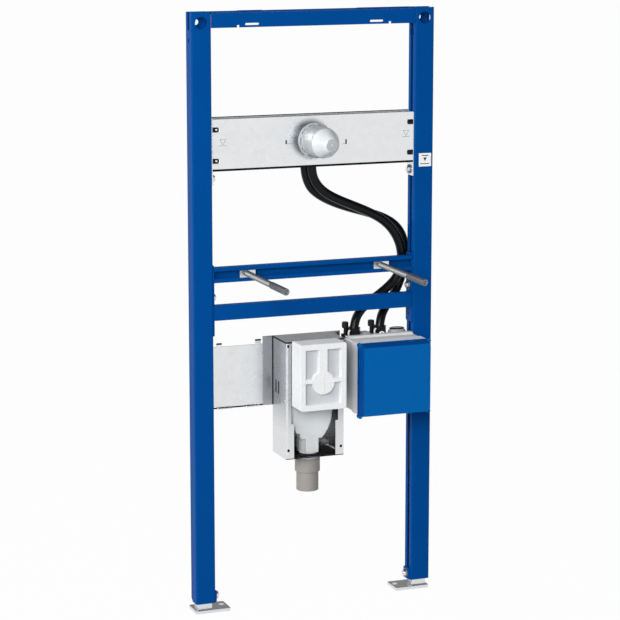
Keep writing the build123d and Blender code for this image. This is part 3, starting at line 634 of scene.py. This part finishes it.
def trap_cover():
    """Moulded foam cover of the trap."""
    low, high = span("trap_cover")
    middle = (low.x + high.x) / 2
    disc_z = (low.z + high.z) / 2 - DISC_DROP
    line = RIDGE_HALF_WIDTH
    part_z = disc_z + PART_LINE_RISE
    near, far = RIM_FRAME
    foot, top = disc_z - RIM_FRAME_BELOW, disc_z + RIM_FRAME_ABOVE
    bm = copy_of("trap_cover")
    round_edges(bm, 1.2, 3)
    front = (low.y - RIDGE, low.y + 1)
    box(bm, low.x + near, high.x - near, *front, part_z - line, part_z + line)
    box(bm, middle - line, middle + line, *front, disc_z - DISC_REACH, disc_z + DISC_REACH)
    for left, right in ((low.x + near, low.x + far), (high.x - far, high.x - near)):
        for x in (left, right):
            box(bm, x - line, x + line, *front, foot, top)
        for z in (foot, top):
            box(bm, left, right, *front, z - line, z + line)
    # Painted shade: the recess floors get the darker foam.
    paint(bm, 1, lambda n, c: n.y < -FACING and c.y > low.y + RECESS_DEPTH)
    stand_for("trap_cover", bm, [FOAM, FOAM_RECESS_SHADE], "foam")


def trap_insert():
    """Moulded trap with a round neck under its bowl."""
    bm = copy_of("trap_insert")
    round_edges(bm, 1.0, 3)
    spun(bm, NECK_OUTLINE, upright(*NECK_PLACE, span("trap_box")[0].z + 1.6))
    stand_for("trap_insert", bm, [TRAP_MILKY], "moulded")


def outlet_pipe():
    """Waste pipe with a softened end and a raised line round it."""
    low, high = span("outlet_pipe")
    middle = (low + high) / 2
    bm = copy_of("outlet_pipe")
    round_edges(bm, 1.2, 3)
    spun(bm, LINE_OUTLINE, upright(middle.x, middle.y, low.z + LINE_HEIGHT), 64)
    stand_for("outlet_pipe", bm, [PIPE_GREY], "moulded")


trap_cover()
trap_insert()
outlet_pipe()


# Function box: collar with a white front sleeve, plug, valve knobs, clips and a small marker
COLLAR_RIM = 2.5
RIM_DEPTH = 12
RIM_RISE = 1.8
SLEEVE_SKIN = 0.7
SLEEVE_FROM = 4.5
SLEEVE_TO = 38
BLOCK_ENDS = (103, 119)
BLOCK_RISE = 8.5
SINK = 0.5
SIDEWAYS = 0.5
CROWN_RADIUS = 8
GRIP_RADIUS = 6.3
RIBS = 16
RIB_WIDTH = 0.8
CLIP_RADIUS = 9
CLIP_THICKNESS = 1.1
CLIP_DEPTH = 6
CLIP_START = math.radians(130)
CLIP_BEND = math.radians(100)
MARKER_X = 141.5
MARKER_Y = -1
MARKER_RADIUS = 6
MARKER_THICKNESS = 2.2
DOT_RADIUS = 1.8
DOT_HEIGHT = 2.4
DOT_OVER = 0.4


def function_box_collar():
    """Front frame of the function box, with a white sleeve over its front half, and painted light on every
    left-facing face.
    """
    low, high = span("function_box_collar")
    top = high.z - COLLAR_RIM
    front, back = low.y + SLEEVE_FROM, low.y + SLEEVE_TO
    bm = copy_of("function_box_collar")
    box(bm, low.x, high.x - 5, high.y - RIM_DEPTH, high.y, high.z - SINK, high.z + RIM_RISE)
    round_edges(bm, 0.8, 3)
    faces = box(bm, low.x - SLEEVE_SKIN, low.x, front, back, low.z, top)
    faces |= box(bm, low.x, high.x, front, back, top, top + SLEEVE_SKIN)
    faces |= box(bm, low.x, high.x, front, back, low.z - SLEEVE_SKIN, low.z)
    give(faces, 1)
    # Painted light: every face turned to the left gets the whiter plastic.
    paint(bm, 1, lambda n, c: n.x < -SIDEWAYS)
    stand_for("function_box_collar", bm, [PALE_GREY, WHITE_PLASTIC], "moulded")


def function_box_cover():
    """Blue protective lid, with painted shade on its top and sides."""
    bm = copy_of("function_box_cover")
    round_edges(bm, 0.8, 3)
    # Painted shade: faces turned up or sideways get the darker blue.
    paint(bm, 1, lambda n, c: n.z > SIDEWAYS or abs(n.x) > SIDEWAYS)
    stand_for("function_box_cover", bm, [LID_BLUE, LID_SHADE], "moulded")


def box_plug():
    """Oblong domed plug with a dark sealing cord round its crown."""
    low, high = span("box_plug")
    middle = (low + high) / 2
    half_width, half_depth = (high.x - low.x) / 2, (high.y - low.y) / 2
    height = high.z - low.z
    stretch = Matrix.Diagonal((half_width / half_depth, 1, 1, 1))
    place = upright(middle.x, middle.y, low.z) @ stretch
    dome = [
        (0, 0),
        (half_depth, 0),
        (half_depth, 4),
        (half_depth - 0.8, 7),
        (half_depth - 3, 10),
        (CROWN_RADIUS, height),
        (0, height),
    ]
    cord = [
        (CROWN_RADIUS + 0.6, height - 1),
        (CROWN_RADIUS + 2.4, height - 2),
        (CROWN_RADIUS + 2.6, height - 0.4),
        (CROWN_RADIUS + 0.8, height + 0.4),
        (CROWN_RADIUS + 0.6, height - 1),
    ]
    bm = bmesh.new()
    spun(bm, dome, place)
    give(faces_of(spun(bm, cord, place)), 1)
    outward(bm)
    stand_for("box_plug", bm, [MID_GREY, BLACK], "moulded")


def function_box_body():
    """Back of the function box, with a block between the two fittings."""
    low, high = span("function_box_body")
    bm = copy_of("function_box_body")
    box(bm, *BLOCK_ENDS, low.y + 4, high.y - 6, high.z - SINK, high.z + BLOCK_RISE)
    round_edges(bm, 0.8)
    stand_for("function_box_body", bm, [MID_GREY], "moulded")


def valve_knob(node):
    """Ribbed turning knob on its stem, with a small hook beside the stem."""
    low, high = span(node)
    middle = (low + high) / 2
    base = span("function_box_body")[1].z
    height = high.z - low.z
    neck = low.z - base
    grip = [
        (0, 0),
        (GRIP_RADIUS - 0.9, 0),
        (GRIP_RADIUS, 0.9),
        (GRIP_RADIUS, height - 1.2),
        (GRIP_RADIUS - 1.1, height),
        (0, height),
    ]
    stem = [(0, 0), (4.4, 0), (4.4, 4), (3.2, 6), (3.2, neck), (0, neck)]
    inner, outer = GRIP_RADIUS - 0.1, GRIP_RADIUS + 0.3
    rib = [(inner, 1.2), (outer, 1.6), (outer, height - 2), (inner, height - 1.6), (inner, 1.2)]
    bm = bmesh.new()
    place = upright(middle.x, middle.y, low.z)
    spun(bm, grip, place, 32)
    spun(bm, stem, upright(middle.x, middle.y, base), 24)
    outward(bm)
    for step in range(RIBS):
        turn = Matrix.Rotation(math.tau * step / RIBS, 4, "Z")
        spun(bm, rib, place @ turn, 1, RIB_WIDTH / GRIP_RADIUS)
    bmesh.ops.holes_fill(bm, edges=bm.edges)
    bmesh.ops.recalc_face_normals(bm, faces=bm.faces)
    box(bm, middle.x - 7.5, middle.x - 1, middle.y - 3, middle.y + 3, base + 2, base + 7.5)
    stand_for(node, bm, [BLACK], "moulded")


def valve_clip(node):
    """White spring clip, bent round between the stem and the fitting."""
    low, high = span(node)
    middle = (low + high) / 2
    inner, half = CLIP_RADIUS - CLIP_THICKNESS, CLIP_DEPTH / 2
    section = [(inner, -half), (CLIP_RADIUS, -half), (CLIP_RADIUS, half), (inner, half), (inner, -half)]
    start = facing_front(middle.x + 3 + CLIP_RADIUS, middle.y - 9, low.z + 9)
    bm = bmesh.new()
    spun(bm, section, start @ Matrix.Rotation(CLIP_START, 4, "Z"), 16, CLIP_BEND)
    bmesh.ops.holes_fill(bm, edges=bm.edges)
    outward(bm)
    stand_for(node, bm, [WHITE_PLASTIC], "bent")


def arch_marker():
    """Small white arch with a dark dot, in front of the right fitting."""
    foot = span("function_box_collar")[1].z - 0.3
    half = [(0, 0), (MARKER_RADIUS, 0), (MARKER_RADIUS, MARKER_THICKNESS), (0, MARKER_THICKNESS)]
    over = MARKER_THICKNESS + DOT_OVER
    dot = [(0, 0), (DOT_RADIUS, 0), (DOT_RADIUS, over), (0, over)]
    bm = bmesh.new()
    spun(bm, half, facing_front(MARKER_X, MARKER_Y, foot), 24, math.pi)
    outward(bm)
    bmesh.ops.holes_fill(bm, edges=bm.edges)
    give(faces_of(spun(bm, dot, facing_front(MARKER_X, MARKER_Y, foot + DOT_HEIGHT), 16)), 1)
    outward(bm)
    add_piece("fitting_marker", bm, [WHITE_PLASTIC, BLACK])


function_box_body()
function_box_collar()
function_box_cover()
box_plug()
for knob in pair("valve_knob"):
    valve_knob(knob)
for clip in pair("valve_clip"):
    valve_clip(clip)
arch_marker()

# Tap cap: a hollow moulding with a straight skirt, a cone and a flat tip, in a ring with catches
CAP_LOW, CAP_HIGH = span("tap_cap")
CAP_X = (CAP_LOW.x + CAP_HIGH.x) / 2
CAP_Z = (CAP_LOW.z + CAP_HIGH.z) / 2
CAP_TIP = 93.4
CAP_OUTLINE = [
    (30.5, 0),
    (30.5, 12),
    (29.9, 12.6),
    (29.9, 50),
    (28.4, 58),
    (17.5, 85),
    (14.6, 89.5),
    (12.4, 92.6),
    (11, 93.2),
    (0, CAP_TIP),
    (0, 91),
    (10, 90.6),
    (13, 87),
    (15.8, 82),
    (26.6, 57),
    (28, 50),
    (28, 0),
    (30.5, 0),
]
TIP_DOT = [(0, 92.8), (1.7, 92.8), (1.7, 93.8), (1.1, 94), (0, 94)]
RING_OUTLINE = [(30.6, 0), (34.6, 0), (34.6, 2.6), (33.4, 4.6), (31.8, 4.6), (30.6, 4), (30.6, 0)]
CATCHES = 10
CATCH_OUTLINE = [(30.7, 3), (34.4, 3), (34.4, 8), (32.6, 10.5), (30.7, 10.5), (30.7, 3)]
CATCH_TURN = math.radians(13)
LUG_OUTLINE = [(34, 0), (37.5, 0), (37.5, 4), (34, 5), (34, 0)]
LUG_START = math.radians(235)
LUG_TURN = math.radians(24)
SKIRT_LENGTH = 56


def tap_cap():
    """Protection cap over the tap's place."""
    bm = bmesh.new()
    place = facing_front(CAP_X, CAP_HIGH.y, CAP_Z)
    spun(bm, CAP_OUTLINE, place, 96)
    spun(bm, TIP_DOT, place, 24)
    outward(bm)
    round_edges(bm, 0.5, 2, 12)
    skirt, tip = CAP_HIGH.y - SKIRT_LENGTH, CAP_HIGH.y - CAP_TIP - NEAR
    # Painted shade: the skirt and the flat tip get the darker polypropylene.
    paint(bm, 1, lambda n, c: c.y > skirt or (n.y < -FACING and c.y > tip))
    stand_for("tap_cap", bm, [MILKY, MILKY_SHADED], "moulded")


def cap_ring():
    """Base ring of the cap with its foot lug and small catches round it."""
    bm = bmesh.new()
    place = facing_front(CAP_X, CAP_HIGH.y, CAP_Z)
    spun(bm, RING_OUTLINE, place, 96)
    for step in range(CATCHES):
        start = place @ Matrix.Rotation(math.tau * (step + 0.3) / CATCHES, 4, "Z")
        spun(bm, CATCH_OUTLINE, start, 4, CATCH_TURN)
    bmesh.ops.holes_fill(bm, edges=bm.edges)
    outward(bm)
    spun(bm, LUG_OUTLINE, place @ Matrix.Rotation(LUG_START, 4, "Z"), 8, LUG_TURN)
    bmesh.ops.holes_fill(bm, edges=bm.edges)
    bmesh.ops.recalc_face_normals(bm, faces=bm.faces)
    round_edges(bm, 0.5, 2, 40)
    # Painted shade: the whole ring gets the darker polypropylene.
    stand_for("cap_ring", bm, [MILKY_SHADED], "moulded")


tap_cap()
cap_ring()

# Studs: rolled thread, a smooth sleeve over the free end
SLEEVE_LENGTH = 77
THREAD_PITCH = 1.75
THREAD_CREST = 6.0
THREAD_ROOT = 5.1
THREAD_STEPS = 16
SLEEVE_OUTLINE = [
    (0, 0),
    (6.4, 0),
    (6.8, 0.8),
    (6.8, 3.0),
    (6.6, 3.5),
    (6.6, 4.3),
    (6.8, 4.8),
    (6.8, 75.6),
    (6.0, SLEEVE_LENGTH),
    (3.6, SLEEVE_LENGTH),
    (3.0, 76.4),
    (3.0, 73.5),
    (0, 73.0),
]


def threaded_stud(node):
    """Stud with a real helix for its thread."""
    low, high = span(node)
    x, z = (low.x + high.x) / 2, (low.z + high.z) / 2
    sleeve_start = low.y + SLEEVE_LENGTH
    bm = bmesh.new()
    turns = math.floor((high.y - sleeve_start) / THREAD_PITCH) + 1
    tooth = [(THREAD_ROOT, 0), (THREAD_CREST, THREAD_PITCH / 2), (THREAD_ROOT, THREAD_PITCH)]
    points = [bm.verts.new((radius * MM, 0, height * MM)) for radius, height in tooth]
    edges = [bm.edges.new(ends) for ends in zip(points, points[1:])]
    bmesh.ops.spin(
        bm,
        geom=points + edges,
        cent=(0, 0, 0),
        axis=(0, 0, 1),
        dvec=(0, 0, THREAD_PITCH / THREAD_STEPS * MM),
        angle=math.tau * turns,
        steps=THREAD_STEPS * turns,
    )
    bmesh.ops.remove_doubles(bm, verts=bm.verts, dist=MERGE)
    bmesh.ops.holes_fill(bm, edges=bm.edges)
    bmesh.ops.transform(bm, matrix=facing_front(x, high.y, z), verts=bm.verts)
    spun(bm, SLEEVE_OUTLINE, facing_front(x, sleeve_start, z), 32)
    outward(bm)
    stand_for(node, bm, [DARK_ZINC], "threaded")


for stud in pair("stud"):
    threaded_stud(stud)

# Bolts: hexagon heads with a round flange behind them and a domed face
FLANGE_OUTLINE = [(4, 0), (9.4, 0), (9.4, 1.0), (8.4, 1.8), (4, 2.2), (4, 0)]
DOME_OUTLINE = [(0, -0.4), (5.8, -0.4), (5.8, 0.3), (4.4, 1.2), (2.2, 1.7), (0, 1.8)]
HEAD_HEIGHT = 6


def flanged_bolt(node, inward):
    """A bolt whose head points to the middle of the frame."""
    low, high = span(node)
    middle = (low + high) / 2
    tip = high.x if inward > 0 else low.x
    bm = copy_of(node)
    round_edges(bm, 0.6)
    flange = turned(tip - inward * HEAD_HEIGHT, middle.y, middle.z, "Y", 90 * inward)
    give(faces_of(spun(bm, FLANGE_OUTLINE, flange, 40)), 1)
    spun(bm, DOME_OUTLINE, turned(tip, middle.y, middle.z, "Y", 90 * inward), 32)
    stand_for(node, bm, [ZINC, DARK_ZINC], "plated")


for kind in ("rail_bolt", "tap_bolt", "leg_clamp_bolt"):
    flanged_bolt("left_" + kind, 1)
    flanged_bolt("right_" + kind, -1)

# Marks: a blank height label on the right post, stamped marks and slot liners on the tap plate
LABEL_THICKNESS = 0.25
INK_THICKNESS = 0.3
LABEL_ENDS = (219.4, 245.9)
LABEL_HEIGHTS = (867.6, 894.0)
BARS = ((225.5, 240, 888.4, 890.2), (222, 241.6, 872.4, 873.8))
POINTER = ((228.6, 885.4), (236.4, 885.4), (232.5, 878.2))


def height_label():
    """White film with a plain pointer and two plain bars."""
    bm = bmesh.new()
    box(bm, *LABEL_ENDS, -LABEL_THICKNESS, 0, *LABEL_HEIGHTS)
    add_piece("height_label", bm, [LABEL])
    bm = bmesh.new()
    for x0, x1, z0, z1 in BARS:
        box(bm, x0, x1, -INK_THICKNESS, 0, z0, z1)
    pointer = bm.faces.new([bm.verts.new(at(x, -INK_THICKNESS, z)) for x, z in POINTER])
    made = bmesh.ops.extrude_face_region(bm, geom=[pointer])["geom"]
    back = [v for v in made if isinstance(v, bmesh.types.BMVert)]
    bmesh.ops.translate(bm, vec=(0, INK_THICKNESS * MM, 0), verts=back)
    outward(bm)
    add_piece("height_label_print", bm, [INK])


PLATE_LOW, PLATE_HIGH = span("tap_plate")
MARK_DEPTH = 0.2
MARK_LINE = 0.9
LEVEL_MARKS = ((-187.7, 938), (192.2, 940.5))
SIDE_LINES = (((-58.8, 924.2), (-45, 924.2)), ((58, 919.4), (65.5, 919.4)))
TICKS = ((-58.8, 924, 931.5), (65.5, 919, 928))
TICK_HALF_WIDTH = 1.5


def mark_line(bm, start, end):
    """A thin stamped line between two places on the tap plate."""
    first, last = Vector(start), Vector(end)
    along = last - first
    middle = (first + last) / 2
    turn = Matrix.Rotation(-math.atan2(along.y, along.x), 4, "Y")
    size = Matrix.Diagonal((along.length * MM, MARK_DEPTH * MM, MARK_LINE * MM, 1.0))
    place = Matrix.Translation(at(middle.x, PLATE_LOW.y - MARK_DEPTH / 2, middle.y))
    bmesh.ops.create_cube(bm, size=1.0, matrix=place @ turn @ size)


def plate_marks():
    """Level marks at the ends of the tap plate, and ticks beside the cap."""
    bm = bmesh.new()
    for centre, top in LEVEL_MARKS:
        left, right, tip = (centre - 6, top), (centre + 6, top), (centre, top - 10)
        base = ((centre - 7.5, top - 12), (centre + 7.5, top - 12))
        for ends in ((left, right), (right, tip), (tip, left), base):
            mark_line(bm, *ends)
    for ends in SIDE_LINES:
        mark_line(bm, *ends)
    add_piece("tap_plate_marks", bm, [MARKING])
    bm = bmesh.new()
    for x, z0, z1 in TICKS:
        ends = (x - TICK_HALF_WIDTH, x + TICK_HALF_WIDTH)
        box(bm, *ends, PLATE_LOW.y - MARK_DEPTH, PLATE_LOW.y, z0, z1)
    add_piece("tap_plate_ticks", bm, [INK])


SLOT_REACH = 8.3
SLOT_RADIUS = 4.7
SLOT_RISE = 30
SLOT_MIDDLE = 50
LINER_DEPTHS = (0.3, 1.5)
PIN_OUTLINE = [(0, 0), (2.4, 0), (2.4, 1.0), (1.8, 1.6), (0, 1.7)]


def slot_liners():
    """Black liners in the end slots of the tap plate, with a bright pin in those at the left."""
    middle = PLATE_LOW.z + SLOT_MIDDLE
    front, back = [PLATE_LOW.y + depth for depth in LINER_DEPTHS]
    end = [(0, 0), (SLOT_RADIUS, 0), (SLOT_RADIUS, back - front), (0, back - front)]
    bm = bmesh.new()
    pins = bmesh.new()
    for side in (-1, 1):
        edge = PLATE_HIGH.x * side
        inner = edge - side * SLOT_REACH
        for z in (middle - SLOT_RISE, middle + SLOT_RISE):
            box(bm, min(edge, inner), max(edge, inner), front, back, z - SLOT_RADIUS, z + SLOT_RADIUS)
            spun(bm, end, facing_front(inner, back, z), 24)
            if side < 0:
                spun(pins, PIN_OUTLINE, facing_front(inner - 0.8, back, z), 20)
    outward(bm)
    outward(pins)
    add_piece("tap_plate_slot_liners", bm, [BLACK])
    add_piece("tap_plate_pins", pins, [ZINC])


height_label()
plate_marks()
slot_liners()

# Light, floor and camera
SOFT_LIGHT = 0.33
CEILING_LIGHT = 0.12
WHITE_SHARE = 0.98
PAPER = (0.4, 0.4, 0.4, 1)
WHITE = (1, 1, 1, 1)


def seen_directly(tree):
    """1 for rays from the camera and for those seen in metal and plastic, 0 for soft light."""
    path = tree.nodes.new("ShaderNodeLightPath").outputs
    glossy = {0: path["Is Camera Ray"], 1: path["Is Glossy Ray"]}
    share = add_node(tree, "Math", {"operation": "MAXIMUM"}, glossy)
    return add_node(tree, "Math", {"operation": "MAXIMUM"}, {0: share, 1: path["Is Transmission Ray"]})


def white_world():
    """White walls under a dark ceiling to the eye, and a plain level of soft light on the object."""
    world = bpy.data.worlds.new("studio")
    bpy.context.scene.world = world
    world.use_nodes = True
    tree = world.node_tree
    background = tree.nodes["Background"].inputs
    background["Color"].default_value = WHITE
    direction = add_node(tree, "TexCoord", {}, {}, "Generated")
    rise = add_node(tree, "SeparateXYZ", {}, {"Vector": direction}, "Z")
    fade = {"Value": rise, "From Min": 0.02, "From Max": 0.35, "To Min": 1.0, "To Max": CEILING_LIGHT}
    walls = add_node(tree, "MapRange", {}, fade)
    levels = {0: seen_directly(tree), 2: SOFT_LIGHT, 3: walls}
    add_node(tree, "Mix", {"data_type": "FLOAT"}, levels, 0, background["Strength"])


def white_floor():
    """White paper floor that keeps a faint shadow."""
    bm = bmesh.new()
    bmesh.ops.create_grid(bm, x_segments=1, y_segments=1, size=60)
    mesh = bpy.data.meshes.new("floor")
    bm.to_mesh(mesh)
    bm.free()
    values = {"Base Color": PAPER, "Roughness": 0.9, "Specular IOR Level": 0.0}
    material, tree, _, _ = start_material("white_paper", values)
    glow = add_node(tree, "Emission", {}, {"Strength": 1.0})
    share = add_node(tree, "MapRange", {}, {"Value": seen_directly(tree), "To Max": WHITE_SHARE})
    paper = tree.nodes["Principled BSDF"].outputs[0]
    surface = tree.nodes["Material Output"].inputs["Surface"]
    add_node(tree, "MixShader", {}, {0: share, 1: paper, 2: glow}, 0, surface)
    mesh.materials.append(material)
    floor = bpy.data.objects.new("floor", mesh)
    bpy.context.scene.collection.objects.link(floor)


def soft_lamp(name, place, target, size, power):
    """A square soft box aimed at a point."""
    lamp = bpy.data.lights.new(name, "AREA")
    lamp.size = size
    lamp.energy = power
    holder = bpy.data.objects.new(name, lamp)
    holder.location = place
    holder.rotation_euler = (Vector(target) - Vector(place)).to_track_quat("-Z", "Y").to_euler()
    bpy.context.scene.collection.objects.link(holder)


def photo_camera():
    """Camera at the photograph's place."""
    camera = bpy.data.cameras.new("camera")
    camera.sensor_width = 36
    camera.lens = CAMERA_LENS
    camera.clip_end = 300
    holder = bpy.data.objects.new("camera", camera)
    holder.location = CAMERA_PLACE
    holder.rotation_euler = (math.radians(90) - CAMERA_PITCH, 0, -CAMERA_YAW)
    bpy.context.scene.collection.objects.link(holder)
    bpy.context.scene.camera = holder


MIDDLE = (0, 0, 0.6)
white_world()
white_floor()
soft_lamp("key", (-4.0, -1.7, 2.1), MIDDLE, 2.2, 100)
soft_lamp("front", (-2.2, -4.1, 2.2), MIDDLE, 1.8, 150)
soft_lamp("back", (-2.8, 3.6, 3.2), MIDDLE, 2.2, 45)
photo_camera()
bpy.context.scene.view_settings.view_transform = "Standard"
